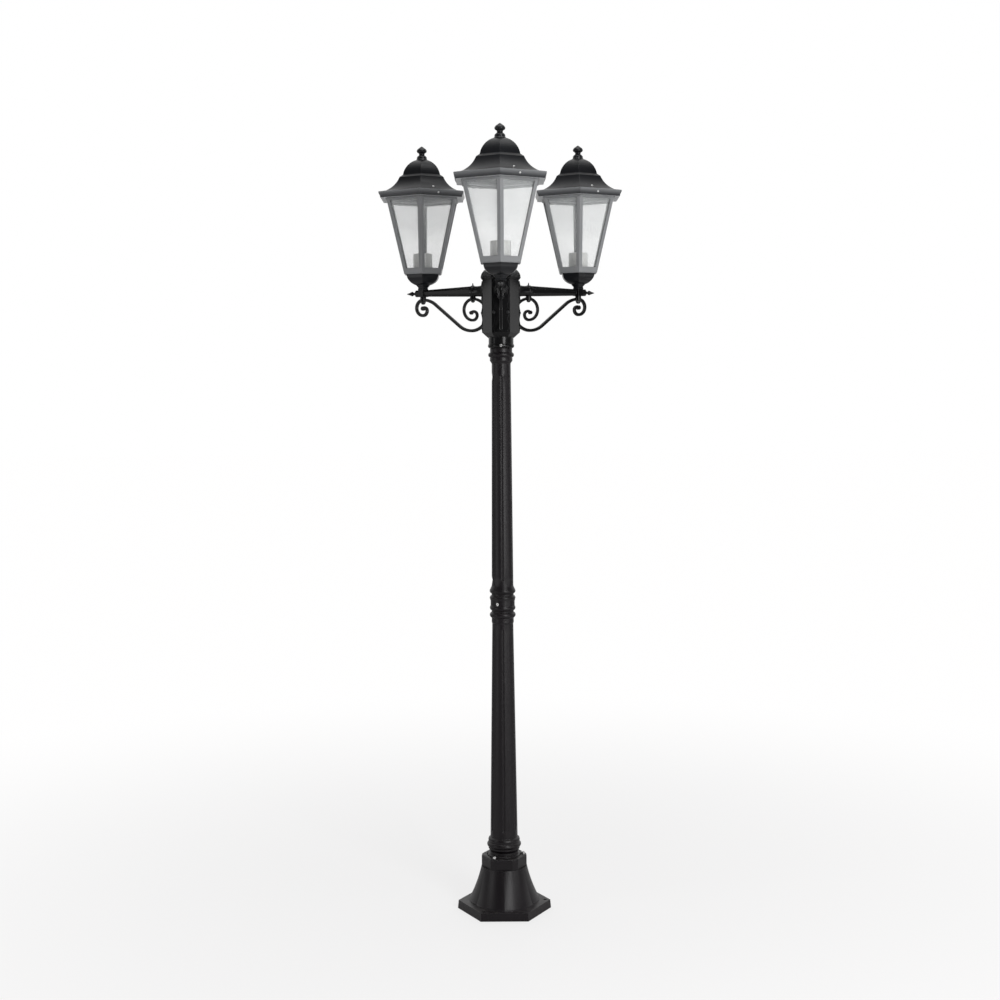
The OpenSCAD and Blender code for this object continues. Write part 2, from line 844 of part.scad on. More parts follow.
long_heading = 57.4;
long_climb = 38;
long_bends = [54, 68, 69.4];
long_run = arm_reach - plate_x;
long_straight = (long_run - long_bends[0] * sin(long_heading)
    - (long_bends[1] + long_bends[2]) * sin(long_climb)) / cos(long_climb);
long_rise = (long_bends[1] + long_bends[2]) * (1 - cos(long_climb))
    + long_straight * sin(long_climb) - long_bends[0] * (1 - cos(long_heading));
long_crest_z = arm_z - pad_drop - long_bar;
long_start_z = long_crest_z - long_rise;
long_foot_z = long_crest_z - long_bar / 2 - eye_foot;
long_steps = [
    [long_bends[0], long_heading], [long_bends[1], long_climb],
    [long_straight, 0], [long_bends[2], -long_climb],
    [23, -90], [22.5, -90], [14, -90], [9, -90], [6.5, -50]
];

module long_scroll() {
    color(powder_black)
        difference() {
            union() {
                translate([plate_x, 0, long_start_z])
                    rotate([0, long_heading, 0]) {
                        bar_chain(long_steps, long_bar, 6.3);
                        translate([-bar_root, -long_bar * 0.45, -long_bar * 0.45])
                            cube([bar_root * 1.5, long_bar * 0.9, long_bar * 0.9]);
                    }
                translate([arm_reach, 0, long_foot_z])
                    cylinder(r = eye_r, h = arm_z - pad_drop - long_foot_z);
            }
            translate([plate_x - 50, -50, long_start_z - 50])
                cube([50, 100, 100]);
            translate([arm_reach, 0, long_foot_z - 1])
                cylinder(d = stem_d + 2 * slide_gap, h = 30);
            translate([arm_reach, 0, long_foot_z - 3])
                cylinder(r = spot_r, h = 3);
        }
}

bar_root = 10;
short_heading = 61;
short_bend = (collar_x - plate_x) / sin(short_heading);
short_crest_z = arm_z - collar_r - short_bar / 2 - 0.5;
short_start_z = short_crest_z - short_bend * (1 - cos(short_heading));
short_foot_z = short_crest_z - short_bar / 2 - eye_foot;
short_steps = [
    [short_bend, -short_heading],
    [30.5, -90], [30.5, -90], [14, -90], [11, -90], [12, -45]
];

module short_scroll() {
    color(powder_black)
        difference() {
            union() {
                translate([plate_x, 0, short_start_z])
                    rotate([0, -short_heading, 0]) {
                        bar_chain(short_steps, short_bar, 5.4);
                        translate([-bar_root, -short_bar * 0.45, -short_bar * 0.45])
                            cube([bar_root * 1.5, short_bar * 0.9, short_bar * 0.9]);
                    }
                translate([collar_x, 0, short_foot_z])
                    cylinder(r = eye_r, h = arm_z - collar_r - short_foot_z);
            }
            translate([plate_x - 50, -50, short_start_z - 50])
                cube([50, 100, 100]);
            translate([collar_x, 0, short_foot_z - 1])
                cylinder(d = bolt_d + 2 * slide_gap, h = 30);
            translate([collar_x, 0, short_foot_z - 3])
                cylinder(r = spot_r, h = 3);
        }
}

// Domed bolts that hang the short scrolls under the arms' collars
module scroll_bolts() {
    color(hub_black)
        for (angle = arm_angles)
            at_arm(angle)
                translate([collar_x, 0, short_foot_z])
                    union() {
                        cylinder(d = bolt_d, h = arm_z - collar_r - short_foot_z + bolt_depth - 1, $fn = 48);
                        rotate_extrude($fn = 48)
                            polygon([[0, 0], [6, 0], [6, -2.5], [4.5, -5], [2, -6.3], [0, -6.5]]);
                    }
}

// Acorn nuts on the stems, under the long scrolls' eyes
stem_foot_z = long_foot_z - lantern_z;

module stem_nuts() {
    color(hub_black)
        for (angle = arm_angles)
            at_lantern(angle)
                translate([0, 0, stem_foot_z])
                    difference() {
                        union() {
                            translate([0, 0, -4])
                                cylinder(d = stem_d + 5, h = 4, $fn = 6);
                            rotate_extrude($fn = 48)
                                polygon([[0, -2], [6.5, -2], [6.5, -5], [4.5, -8], [0, -9]]);
                        }
                        translate([0, 0, -5])
                            cylinder(d = stem_d + 2 * slide_gap, h = 6, $fn = 64);
                    }
}

// Lantern parts: z = 0 on the arm's pad, faces square to X
bowl_half = 46.5;
bowl_round_h = 32;
bowl_neck_half = 19;
bowl_start = asin(bowl_neck_half / bowl_half);
bowl_profile = concat(
    [[15, 0], [15, 2], [14, 4.5], [14, 7], [16.5, 10], [19, 12.5]],
    [
        for (i = [0:8])
            let (a = bowl_start + (90 - bowl_start) * i / 8)
                [bowl_half * sin(a), bowl_h - 1.5 - bowl_round_h * cos(a)]
    ],
    [[bowl_half + 0.5, bowl_h - 1], [bowl_half + 0.5, bowl_h]]
);

module bowl() {
    color(roof_grey)
        difference() {
            hex_body(bowl_profile);
            translate([0, 0, -1])
                cylinder(d = stem_d + 2 * slide_gap, h = bowl_h + 2, $fn = 64);
        }
}

// Frame: tapered six-sided cage with rails, stiles, a web at its foot and hinge lugs
foot_half = body_foot_af / 2;
top_half = body_top_af / 2;
foot_step = 2;
foot_top = bowl_h + 2;
cage_z0 = bowl_h + 5;
cage_z1 = bowl_h + body_h - 5;
body_z1 = bowl_h + body_h;
web_t = 4.5;
flange_out = 3;

// Half width of the body's outside at height z
function body_half(z) = foot_half + (top_half - foot_half) * (z - cage_z0) / (cage_z1 - cage_z0);

// Tapered six-sided core, set in from the body's outside, between two heights
module body_core(inset, z0, z1) {
    hex_body([[body_half(z0) - inset, z0], [body_half(z1) - inset, z1]]);
}

// Half length of a face's edge, corner to middle, at height z
function face_half(z) = body_half(z) / sqrt(3);
window_z0 = bowl_h + rail_h;
window_z1 = body_z1 - head_h;

hinge_turn = 120;
hinge_r = hinge_pin_d / 2 + 2;
hinge_out = brim_af / 2 + hinge_r + 0.5;
hinge_z = body_z1 + 12;
knuckle_w = 14;
lug_w = 8;
lug_gap = 0.3;

module hinge_place() {
    rotate([0, 0, hinge_turn])
        translate([hinge_out, 0, hinge_z])
            rotate([90, 0, 0])
                children();
}

module frame() {
    color(frame_grey)
        difference() {
            union() {
                difference() {
                    union() {
                        hex_body([[foot_half - foot_step, bowl_h], [foot_half - foot_step, cage_z0]]);
                        hex_body([
                            [body_half(foot_top), foot_top], [top_half, cage_z1],
                            [top_half + flange_out, cage_z1 + 1],
                            [top_half + flange_out, body_z1 - seat_gap]
                        ]);
                    }
                    body_core(frame_wall, bowl_h + web_t, body_z1 + 1);
                    for (turn = [0, 60, 120])
                        rotate([0, 0, turn])
                            rotate([90, 0, 90])
                                linear_extrude(height = 3 * top_half, center = true)
                                    polygon([
                                        [face_half(window_z0) - stile_w, window_z0],
                                        [face_half(window_z1) - stile_w, window_z1],
                                        [stile_w - face_half(window_z1), window_z1],
                                        [stile_w - face_half(window_z0), window_z0]
                                    ]);
                }
                rotate([0, 0, hinge_turn])
                    for (side = [-1, 1])
                        translate([0, side * (knuckle_w + lug_w + 2 * lug_gap) / 2, 0]) {
                            translate([top_half - 2, -lug_w / 2, body_z1 - seat_gap - 4])
                                cube([hinge_out + hinge_r - top_half + 2, lug_w, 4]);
                            translate([hinge_out - hinge_r, -lug_w / 2, body_z1 - seat_gap - 4])
                                cube([2 * hinge_r, lug_w, hinge_z - body_z1 + seat_gap + 4]);
                            translate([hinge_out, 0, hinge_z])
                                rotate([90, 0, 0])
                                    cylinder(r = hinge_r, h = lug_w, center = true, $fn = 48);
                        }
            }
            hinge_place()
                cylinder(d = hinge_pin_d + 2 * run_gap, h = 60, center = true, $fn = 48);
            translate([0, 0, bowl_h - 1])
                cylinder(d = stem_d + 2 * slide_gap, h = web_t + 2, $fn = 64);
        }
}

// Six glass panes behind the cage's openings, mitred at the corners
glass_z0 = bowl_h + web_t + 4;
glass_z1 = window_z1 + 2;
mitre_gap = 1;

module glass() {
    color(clear_glass)
        difference() {
            body_core(frame_wall + 0.2, glass_z0, glass_z1);
            body_core(frame_wall + 0.2 + glass_t, glass_z0 - 1, glass_z1 + 1);
            for (turn = [30, 90, 150])
                rotate([0, 0, turn])
                    cube([4 * top_half, mitre_gap, 4 * body_z1], center = true);
        }
}

// Stem: threaded tube from the acorn nut up into the lampholder
stem_grip = 12;

module stem() {
    color(bright)
        difference() {
            translate([0, 0, stem_foot_z - 4])
                cylinder(d = stem_d, h = bowl_h + web_t + stem_grip - stem_foot_z + 3, $fn = 64);
            translate([0, 0, -pad_drop - wire_d / 2])
                cylinder(d = stem_d * 0.6, h = bowl_h + web_t + stem_grip + 30, $fn = 48);
            translate([0, 0, -pad_drop])
                rotate([90, 0, 0])
                    cylinder(d = stem_d * 0.5, h = stem_d * 2, center = true, $fn = 48);
        }
}

// Lampholder: porcelain body with a skirt, screwed down on the stem
holder_h = 56;
socket_depth = 30;
holder_seat = bowl_h + web_t;

module lampholder() {
    skirt_r = holder_d / 2;
    color(porcelain)
        translate([0, 0, holder_seat])
            difference() {
                rotate_extrude()
                    polygon([
                        [0, 0], [skirt_r - 3, 0], [skirt_r - 1, 3], [skirt_r, 6], [skirt_r, holder_h - 2],
                        [skirt_r - 1, holder_h], [skirt_r - 3, holder_h], [skirt_r - 3, holder_h - 8],
                        [lamp_thread_d / 2 + 6, holder_h - 8], [lamp_thread_d / 2 + 6, holder_h - 1],
                        [lamp_thread_d / 2 + 5, holder_h], [0, holder_h]
                    ]);
                translate([0, 0, -1])
                    cylinder(d = stem_d + 2 * slide_gap, h = stem_grip + 1, $fn = 64);
                translate([0, 0, holder_h - socket_depth])
                    cylinder(d = lamp_thread_d, h = socket_depth + 1);
            }
}

// Roof: six-sided shell with a fascia, a hollow flare, a step and a dome
brim_half = brim_af / 2;
roof_z = body_z1;
fascia_h = 17;
flare_r = 75.3;
flare_centre = [brim_half + 11, roof_z + 89.5];
dome_r = 59;
dome_centre = [brim_half - 127, roof_z + 59];
flare_foot_angle = 245.6;
flare_head_angle = 201.4;
dome_foot_angle = 9.8;
dome_head_angle = 69.6;

// Outside of the roof above its fascia when inset is 0, its hollow when inset is the wall
function roof_profile(inset) = concat(
    arc(flare_centre, flare_r + inset, flare_foot_angle, flare_head_angle, 12),
    arc(dome_centre, dome_r - inset, dome_foot_angle, dome_head_angle, 10)
);
roof_top_z = roof_profile(0)[len(roof_profile(0)) - 1][1];
shelf_half = top_half - frame_wall;

module roof() {
    color(roof_grey)
        difference() {
            union() {
                difference() {
                    hex_body(concat(
                        [
                            [brim_half - 5, roof_z], [brim_half - 4, roof_z + 5],
                            [brim_half, roof_z + fascia_h - 4], [brim_half, roof_z + fascia_h]
                        ],
                        roof_profile(0)
                    ));
                    hex_body(concat(
                        [
                            [brim_half - 4.5 - roof_wall, roof_z + roof_wall],
                            [brim_half - 3.9 - roof_wall, roof_z + roof_wall + 3],
                            [brim_half - roof_wall, roof_z + fascia_h - roof_wall]
                        ],
                        roof_profile(roof_wall)
                    ));
                    hex_body([[shelf_half, roof_z - 1], [shelf_half, roof_z + roof_wall + 1]]);
                }
                rotate([0, 0, hinge_turn]) {
                    translate([hinge_out, 0, hinge_z])
                        rotate([90, 0, 0])
                            cylinder(r = hinge_r, h = knuckle_w, center = true, $fn = 48);
                    translate([brim_half - 2.5, -knuckle_w / 2, hinge_z - 2])
                        cube([hinge_r + 2.5, knuckle_w, 4]);
                }
            }
            hinge_place()
                cylinder(d = hinge_pin_d + 2 * run_gap, h = 60, center = true, $fn = 48);
            translate([0, 0, roof_top_z - 10])
                cylinder(d = finial_stud_d + 2 * slide_gap, h = 20, $fn = 48);
            catch_screw_places()
                cylinder(d = catch_screw_d + 2 * slide_gap, h = 12, center = true, $fn = 32);
        }
}

// Hinge pins, with a head at each end outside the lugs
module hinge_pins() {
    span = knuckle_w + 2 * lug_w + 4 * lug_gap;
    color(bright)
        for (angle = arm_angles)
            at_lantern(angle)
                hinge_place()
                    union() {
                        cylinder(d = hinge_pin_d, h = span + 1, center = true, $fn = 48);
                        for (side = [-1, 1])
                            translate([0, 0, side * (span / 2 + 1.2)])
                                cylinder(d = hinge_pin_d + 2, h = 1.8, center = true, $fn = 48);
                    }
}

// Roof finial: turned button on a waisted base, its stud through the roof
finial_stud_d = 6;
finial_h = 40;

module roof_finial() {
    color(roof_grey)
        translate([0, 0, roof_top_z])
            union() {
                rotate_extrude($fn = 64)
                    polygon([
                        [0, 0], [16.5, 0], [16.5, 1.5], [15, 3.5], [14.4, 9], [12, 12],
                        [8.6, 14.5], [8, 18], [9.4, 20.5], [13.4, 23], [14.8, 26], [14.4, 29],
                        [12, 32.5], [8, 35.5], [3.8, 38.5], [1.3, finial_h], [0, finial_h]
                    ]);
                translate([0, 0, -8])
                    cylinder(d = finial_stud_d, h = 9, $fn = 48);
            }
}

// Catch: spring strip inside the roof that presses behind the frame's top rail
catch_turn = -60;
catch_screw_d = 3;
catch_w = 12;
catch_t = 1.5;
catch_leg = shelf_half - 3.5;
catch_seat = roof_wall + 0.2;
screw_y = -10;

// The upper screw is square to the flare, the lower one square to the fascia
upper_screw_angle = 360 - acos((catch_leg - 2 - flare_centre[0]) / flare_r);
upper_screw_at = flare_centre + flare_r * [cos(upper_screw_angle), sin(upper_screw_angle)];
upper_screw_tilt = 270 - upper_screw_angle;
lower_screw_at = [brim_half - 2, roof_z + fascia_h / 2 + 0.5];
lower_screw_tilt = 90 + atan2(4, fascia_h - 9);

module upper_screw_place() {
    translate([upper_screw_at[0], screw_y, upper_screw_at[1]])
        rotate([0, upper_screw_tilt, 0])
            children();
}

module lower_screw_place() {
    translate([lower_screw_at[0], screw_y, lower_screw_at[1]])
        rotate([0, lower_screw_tilt, 0])
            children();
}

module catch_screw_places() {
    rotate([0, 0, catch_turn]) {
        upper_screw_place()
            children();
        lower_screw_place()
            children();
    }
}

module catch() {
    color(bright)
        rotate([0, 0, catch_turn])
            difference() {
                union() {
                    upper_screw_place()
                        translate([-6, -catch_w / 2, -catch_seat - catch_t])
                            cube([12, catch_w, catch_t]);
                    translate([catch_leg, screw_y - catch_w / 2, glass_z1 + 0.5])
                        cube([catch_t, catch_w, upper_screw_at[1] - glass_z1 - 7]);
                    translate([catch_leg, screw_y - catch_w / 2, roof_z + catch_seat])
                        cube([lower_screw_at[0] - 6.3 - catch_leg, catch_w, catch_t]);
                    lower_screw_place()
                        translate([-3, -catch_w / 2, -catch_seat - catch_t])
                            cube([10.5, catch_w, catch_t]);
                }
                upper_screw_place()
                    cylinder(d = catch_screw_d + 2 * slide_gap, h = 16, center = true, $fn = 32);
                lower_screw_place()
                    cylinder(d = catch_screw_d + 2 * slide_gap, h = 14, center = true, $fn = 32);
            }
}

module catch_screws() {
    color(bright)
        catch_screw_places()
            union() {
                translate([0, 0, -6])
                    cylinder(d = catch_screw_d, h = 7, $fn = 32);
                translate([0, 0, 0.2])
                    rotate_extrude($fn = 32)
                        polygon([[0, 0], [3, 0], [2.7, 1.2], [1.5, 2.1], [0, 2.3]]);
            }
}

base_casting();
base_collar();
collar_screws();
lower_post();
upper_post();
coupling_screw();
hub();
hub_screw();
hub_cap();
cap_finial();
terminal_block();
at_arm(front) arm();  // front_arm
at_arm(right) arm();  // right_arm
at_arm(left) arm();  // left_arm
at_arm(front) arm_tip();  // front_arm_tip
at_arm(right) arm_tip();  // right_arm_tip
at_arm(left) arm_tip();  // left_arm_tip
at_arm(front) long_scroll();  // front_long_scroll
at_arm(right) long_scroll();  // right_long_scroll
at_arm(left) long_scroll();  // left_long_scroll
at_arm(front) short_scroll();  // front_short_scroll
at_arm(right) short_scroll();  // right_short_scroll
at_arm(left) short_scroll();  // left_short_scroll
plate_screws();
scroll_bolts();
stem_nuts();
hinge_pins();
at_lantern(front) bowl();  // front_bowl
at_lantern(right) bowl();  // right_bowl
at_lantern(left) bowl();  // left_bowl
at_lantern(front) frame();  // front_frame
at_lantern(right) frame();  // right_frame
at_lantern(left) frame();  // left_frame
at_lantern(front) glass();  // front_glass
at_lantern(right) glass();  // right_glass
at_lantern(left) glass();  // left_glass
at_lantern(front) stem();  // front_stem
at_lantern(right) stem();  // right_stem
at_lantern(left) stem();  // left_stem
at_lantern(front) lampholder();  // front_lampholder
at_lantern(right) lampholder();  // right_lampholder
at_lantern(left) lampholder();  // left_lampholder
at_lantern(front) roof();  // front_roof
at_lantern(right) roof();  // right_roof
at_lantern(left) roof();  // left_roof
at_lantern(front) roof_finial();  // front_roof_finial
at_lantern(right) roof_finial();  // right_roof_finial
at_lantern(left) roof_finial();  // left_roof_finial
at_lantern(front) catch();  // front_catch
at_lantern(right) catch();  // right_catch
at_lantern(left) catch();  // left_catch
at_lantern(front) catch_screws();  // front_catch_screws
at_lantern(right) catch_screws();  // right_catch_screws
at_lantern(left) catch_screws();  // left_catch_screws
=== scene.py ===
import math
import bmesh
import bpy
from mathutils import Matrix, Vector


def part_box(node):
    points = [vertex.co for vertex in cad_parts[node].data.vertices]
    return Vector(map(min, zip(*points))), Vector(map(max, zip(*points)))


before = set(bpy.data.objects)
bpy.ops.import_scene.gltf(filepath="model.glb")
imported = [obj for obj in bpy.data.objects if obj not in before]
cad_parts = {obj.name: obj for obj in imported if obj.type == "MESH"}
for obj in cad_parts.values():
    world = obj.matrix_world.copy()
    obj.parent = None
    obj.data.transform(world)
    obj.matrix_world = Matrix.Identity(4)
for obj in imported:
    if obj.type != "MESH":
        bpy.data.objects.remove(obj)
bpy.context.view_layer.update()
scene = bpy.context.scene

# The view of the photograph: 4.4 m in front of the post and 1.54 m above the
# ground, looking a little down. The post stands a hair out of plumb in it.
camera_data = bpy.data.cameras.new("front_view")
camera_data.sensor_width = 36
camera_data.lens = 54.9
camera_data.clip_start = 0.1
camera = bpy.data.objects.new("front_view", camera_data)
camera.matrix_world = (
    Matrix.Translation((-0.0058, -4.4, 1.5386))
    @ Matrix.Rotation(math.radians(85.69), 4, "X")
    @ Matrix.Rotation(math.radians(-0.36), 4, "Z")
)
scene.collection.objects.link(camera)
scene.camera = camera
scene.view_settings.view_transform = "Standard"

# Base casting and its clamping collar: cast aluminium under a satin black powder
# coat. The sprayed skin is slightly uneven, and dust settles on what faces up.
class Socket:
    """One output of a node. Arithmetic on it adds Math nodes."""

    def __init__(self, finish, link):
        self.finish = finish
        self.link = link

    def worked(self, operation, first, second):
        return self.finish.add("ShaderNodeMath", {"operation": operation}, {0: first, 1: second})

    def __add__(self, other):
        return self.worked("ADD", self, other)

    def __radd__(self, other):
        return self.worked("ADD", other, self)

    def __rsub__(self, other):
        return self.worked("SUBTRACT", other, self)

    def __mul__(self, other):
        return self.worked("MULTIPLY", self, other)

    def __rmul__(self, other):
        return self.worked("MULTIPLY", other, self)


class Finish:
    """A material whose nodes are added by name."""

    def __init__(self, name):
        self.material = bpy.data.materials.new(name)
        self.material.use_nodes = True
        self.tree = self.material.node_tree
        self.shader = self.tree.nodes["Principled BSDF"]
        self.place = self.add("ShaderNodeTexCoord", {}, {}, "Object")

    def add(self, kind, settings, sockets, output=0):
        node = self.tree.nodes.new(kind)
        for name, value in settings.items():
            if name == "stops":
                ramp = node.color_ramp.elements
                for i, (position, level) in enumerate(value):
                    stop = ramp[i] if i < len(ramp) else ramp.new(position)
                    stop.position = position
                    stop.color = (level, level, level, 1)
            else:
                setattr(node, name, value)
        for name, value in sockets.items():
            self.feed(node.inputs[name], value)
        return Socket(self, node.outputs[output])

    def feed(self, target, value):
        if isinstance(value, Socket):
            self.tree.links.new(value.link, target)
        else:
            target.default_value = value

    def shade(self, sockets):
        for name, value in sockets.items():
            self.feed(self.shader.inputs[name], value)

    def noise(self, scale, detail=3.0, rough=0.5):
        return self.add(
            "ShaderNodeTexNoise", {},
            {"Vector": self.place, "Scale": scale, "Detail": detail, "Roughness": rough},
        )

    def ramp(self, value, stops):
        return self.add("ShaderNodeValToRGB", {"stops": stops}, {"Fac": value})

    def fade(self, value, start, end, first=0.0, last=1.0, kind="LINEAR"):
        return self.add(
            "ShaderNodeMapRange", {"interpolation_type": kind},
            {"Value": value, "From Min": start, "From Max": end, "To Min": first, "To Max": last},
        )

    def upward(self, direction):
        return self.add("ShaderNodeSeparateXYZ", {}, {"Vector": direction}, 2)

    def below(self, level):
        return self.fade(self.upward(self.place), level - PAINT_LINE, level + PAINT_LINE, 1.0, 0.0)

    def dot(self, first, second):
        return self.add("ShaderNodeVectorMath", {"operation": "DOT_PRODUCT"}, {0: first, 1: second}, 1)

    def blend(self, share, first, second):
        return self.add(
            "ShaderNodeMix", {"data_type": "RGBA"},
            {"Factor": share, 6: (*first, 1) if isinstance(first, tuple) else first,
             7: (*second, 1) if isinstance(second, tuple) else second}, 2,
        )


SIDES = ("front", "right", "left")
CAST_EDGE = 0.0016
PAINT_LINE = 0.0004
DUST = (0.32, 0.30, 0.28)

# Heights and paints of a lantern roof's brim and of its inside, with the painted shade on the brim's
# lower edge and on the inside below the brim's top.
BRIM_TOP = 2.1015
BRIM_DARK_Z = 2.085
BRIM_LIGHT_Z = 2.099
BRIM_PAINTED_SHADE = (0.020, 0.021, 0.024)
WHITE_LINING = (0.80, 0.80, 0.79)
PAINTED_SHADE_LINING = (0.42, 0.43, 0.44)


# Edge colour: partly rubbed wear, partly a painted highlight along rounded edges.
def worn_and_highlit(colour):
    return tuple(1.6 * c + 0.035 for c in colour)


def powder_coat(name, colour, sheen_colour, roughness, gloss, brim=None, axis=None):
    coat = Finish(name)
    rounded = coat.add("ShaderNodeBevel", {"samples": 4}, {"Radius": CAST_EDGE})
    flat = coat.add("ShaderNodeNewGeometry", {}, {}, "True Normal")
    edge = coat.ramp(1 - coat.dot(rounded, flat), [(0.01, 0.0), (0.16, 1.0)])
    clouds = coat.noise(7, 4)
    grain = coat.noise(1400, 2)
    peel = coat.noise(420, 2)
    own = coat.add(
        "ShaderNodeVectorTransform",
        {"vector_type": "NORMAL", "convert_from": "WORLD", "convert_to": "OBJECT"}, {"Vector": flat},
    )
    patches = coat.ramp(coat.noise(38, 5, 0.65), [(0.42, 0.0), (0.75, 1.0)])
    dust = coat.ramp(coat.upward(own), [(0.55, 0.0), (0.95, 1.0)]) * patches
    tone = coat.blend(coat.ramp(clouds, [(0.3, 0.0), (0.75, 1.0)]), colour, sheen_colour)
    # Rounded edges are painted lighter: partly wear, partly a painted highlight.
    tone = coat.blend(edge * 0.5, tone, worn_and_highlit(colour))
    if brim:
        # The brim darkens from graphite towards its lower edge: painted shade.
        lit = coat.fade(coat.upward(coat.place), BRIM_DARK_Z, BRIM_LIGHT_Z)
        tone = coat.blend(coat.below(BRIM_TOP), tone, coat.blend(lit, BRIM_PAINTED_SHADE, brim))
    tone = coat.blend(dust * 0.10, tone, DUST)
    if axis:
        out = coat.add("ShaderNodeVectorMath", {"operation": "SUBTRACT"}, {0: coat.place, 1: axis})
        inner = coat.add("ShaderNodeMath", {"operation": "LESS_THAN"}, {0: coat.dot(out, own), 1: 0.0})
        # Inside faces are white above the brim's top and grey below it; the grey is painted shade.
        lining_with_painted_shade = coat.blend(coat.below(BRIM_TOP), WHITE_LINING, PAINTED_SHADE_LINING)
        tone = coat.blend(inner, tone, lining_with_painted_shade)
    normal = coat.add(
        "ShaderNodeBump", {},
        {"Strength": 0.22, "Distance": 0.00025, "Height": 0.6 * peel + 0.4 * grain, "Normal": rounded},
    )
    coat.shade({
        "Base Color": tone,
        "Roughness": roughness - 0.07 + 0.12 * clouds + 0.16 * dust,
        "Metallic": 0.0,
        "Specular IOR Level": gloss,
        "Normal": normal,
    })
    return coat.material


def dress(material, *names):
    for name in names:
        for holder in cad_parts[name].material_slots:
            holder.material = material


SATIN_BLACK = (0.0034, 0.0023, 0.0033)
SATIN_BLACK_SHEEN = (0.0058, 0.0039, 0.0056)
black_coat = powder_coat("black_powder_coat", SATIN_BLACK, SATIN_BLACK_SHEEN, 0.40, 0.27)
dress(black_coat, "base_casting", "base_collar")

# Collar screws, grub screws and hinge pins: plain stainless steel, turned and left
# bright. The turning leaves a fine brushed texture across each head.
TURNED_EDGE = 0.0004


def turned_steel(name, colour, roughness):
    steel = Finish(name)
    rounded = steel.add("ShaderNodeBevel", {"samples": 4}, {"Radius": TURNED_EDGE})
    scratches = steel.add(
        "ShaderNodeTexNoise", {},
        {"Vector": steel.add("ShaderNodeMapping", {}, {"Vector": steel.place, "Scale": (1, 1, 9)}),
         "Scale": 900, "Detail": 3},
    )
    greying = steel.noise(150, 3)
    steel.shade({
        "Base Color": steel.blend(greying, colour, tuple(0.8 * c for c in colour)),
        "Roughness": roughness - 0.06 + 0.14 * greying,
        "Metallic": 1.0,
        "Normal": steel.add(
            "ShaderNodeBump", {},
            {"Strength": 0.15, "Distance": 0.0001, "Height": scratches, "Normal": rounded},
        ),
    })
    return steel.material


screw_steel = turned_steel("bright_screws", (0.76, 0.76, 0.75), 0.3)
dress(screw_steel, "collar_screws", "coupling_screw", "hub_screw", "hinge_pins")

# Fluted post: two cast lengths with turned rings, in the same black coat as the
# base.
dress(black_coat, "lower_post", "upper_post")

# Hub, its cap and finial: the cast box that holds the wiring, in a black coat
# that is more neutral and shines more than the post's.
NEUTRAL_BLACK = (0.0026, 0.0026, 0.0029)
NEUTRAL_BLACK_SHEEN = (0.0042, 0.0042, 0.0046)
hub_coat = powder_coat("hub_powder_coat", NEUTRAL_BLACK, NEUTRAL_BLACK_SHEEN, 0.22, 0.22)
dress(hub_coat, "hub", "hub_cap", "cap_finial")

# Arms, their tips and scrolls: cast arms and wrought square bar, coated in one go
# with the hub. The bolts, nuts and plate screws that hold them are blackened steel.
for side in SIDES:
    dress(hub_coat, side + "_arm", side + "_arm_tip", side + "_long_scroll", side + "_short_scroll")
black_steel = turned_steel("black_screws", (0.05, 0.05, 0.052), 0.4)
dress(black_steel, "scroll_bolts", "stem_nuts", "plate_screws")

# Lantern frames: tapered cast cages, coated a lighter graphite grey that catches
# the light along stiles and rails.
GRAPHITE = (0.180, 0.185, 0.191)
GRAPHITE_SHEEN = (0.212, 0.217, 0.223)
graphite_coat = powder_coat("lantern_graphite", GRAPHITE, GRAPHITE_SHEEN, 0.42, 0.4)
for side in SIDES:
    dress(graphite_coat, side + "_frame")

# Bowls, roofs and roof finials: cast aluminium in a charcoal coat, a shade
# lighter than the post. Each roof's brim is graphite, darkened towards its lower
# edge by painted shade. Its inside is white, so that it throws the lamp's light
# down, and grey below the brim's top, which is painted shade.
CHARCOAL = (0.0052, 0.0056, 0.0068)
CHARCOAL_SHEEN = (0.0088, 0.0094, 0.0113)
LINING_DROP = 0.05
charcoal_coat = powder_coat("lantern_charcoal", CHARCOAL, CHARCOAL_SHEEN, 0.30, 0.26)
for side in SIDES:
    dress(charcoal_coat, side + "_bowl", side + "_roof_finial")
    low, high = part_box(side + "_roof_finial")
    under_roof = ((low[0] + high[0]) / 2, (low[1] + high[1]) / 2, BRIM_TOP - LINING_DROP)
    roof_coat = powder_coat(
        side + "_roof_charcoal", CHARCOAL, CHARCOAL_SHEEN, 0.30, 0.22, GRAPHITE, under_roof
    )
    dress(roof_coat, side + "_roof")

# Glass: six flat clear panes in each frame. Drawn glass is faintly wavy, and a
# thin film of dust greys it in patches. It is also greyed more towards the top,
# which is a painted reflection.
PAINTED_REFLECTION_START_Z = 1.94
PAINTED_REFLECTION_FULL_Z = 2.03
glass = Finish("clear_glass")
film = glass.ramp(glass.noise(22, 5, 0.6), [(0.35, 0.0), (0.8, 1.0)])
# Greyer towards the top: a painted reflection.
greying = glass.fade(glass.upward(glass.place), PAINTED_REFLECTION_START_Z, PAINTED_REFLECTION_FULL_Z, kind="SMOOTHSTEP")
glass.shade({
    "Base Color": glass.blend(film, (0.66, 0.69, 0.69), (0.78, 0.79, 0.79)),
    "Roughness": 0.03 + 0.06 * film,
    "Alpha": 0.11 + 0.05 * film + 0.09 * greying,
    "IOR": 1.45,
    "Normal": glass.add(
        "ShaderNodeBump", {}, {"Strength": 0.08, "Distance": 0.001, "Height": glass.noise(14, 1)},
    ),
})
for side in SIDES:
    dress(glass.material, side + "_glass")

